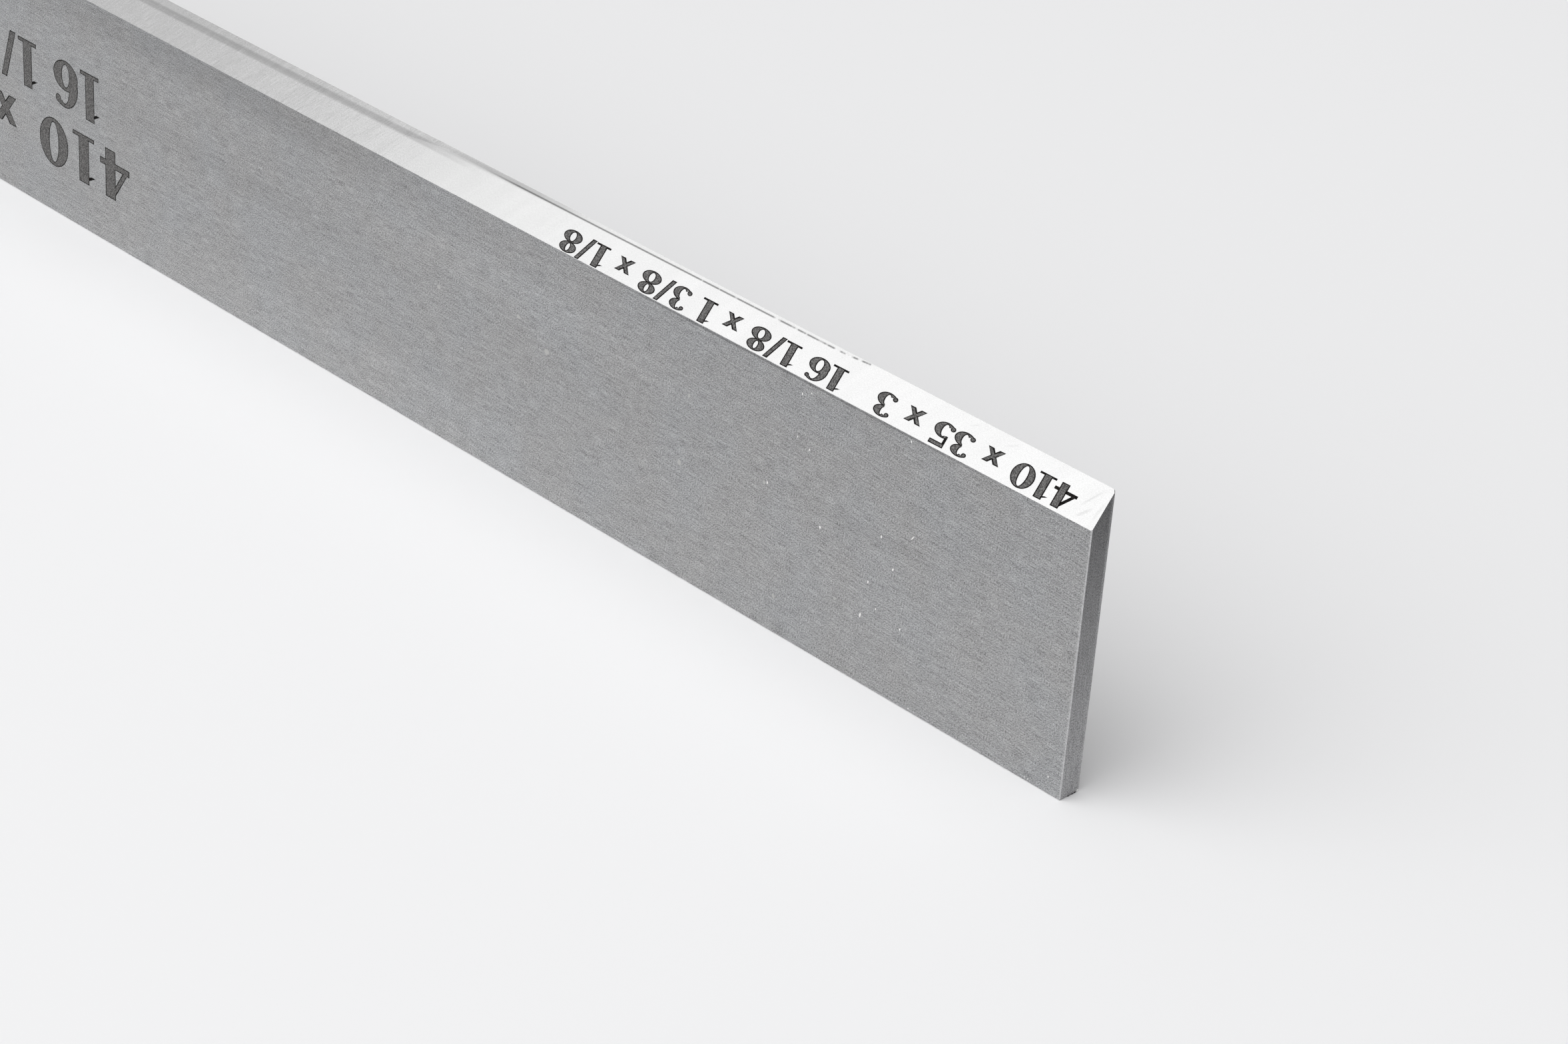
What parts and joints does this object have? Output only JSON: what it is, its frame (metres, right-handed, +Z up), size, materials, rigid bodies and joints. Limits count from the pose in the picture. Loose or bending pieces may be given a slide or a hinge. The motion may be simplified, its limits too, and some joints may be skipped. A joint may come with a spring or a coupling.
{
  "type": "planer knife",
  "caption": "Long thin flat bar of ground tool steel with one sharp bevelled edge, clamped in a wood planer's cutterhead.",
  "frame": {"origin": "middle of the back edge, the narrow flat face opposite the cutting edge, on which the knife stands", "axes": "+X along the blade to the end where the second grind runs out, +Y across the thickness to the rear face that carries the cutting edge, +Z up the width to the cutting edge"},
  "size_m": [0.41, 0.003, 0.035],
  "materials": {
    "ground_steel": "ground: fine grind marks along the broad faces, across the bevel and up the ends"
  },
  "bodies": {
    "root": {"planer_knife": "ground_steel"}
  },
  "joints": []
}
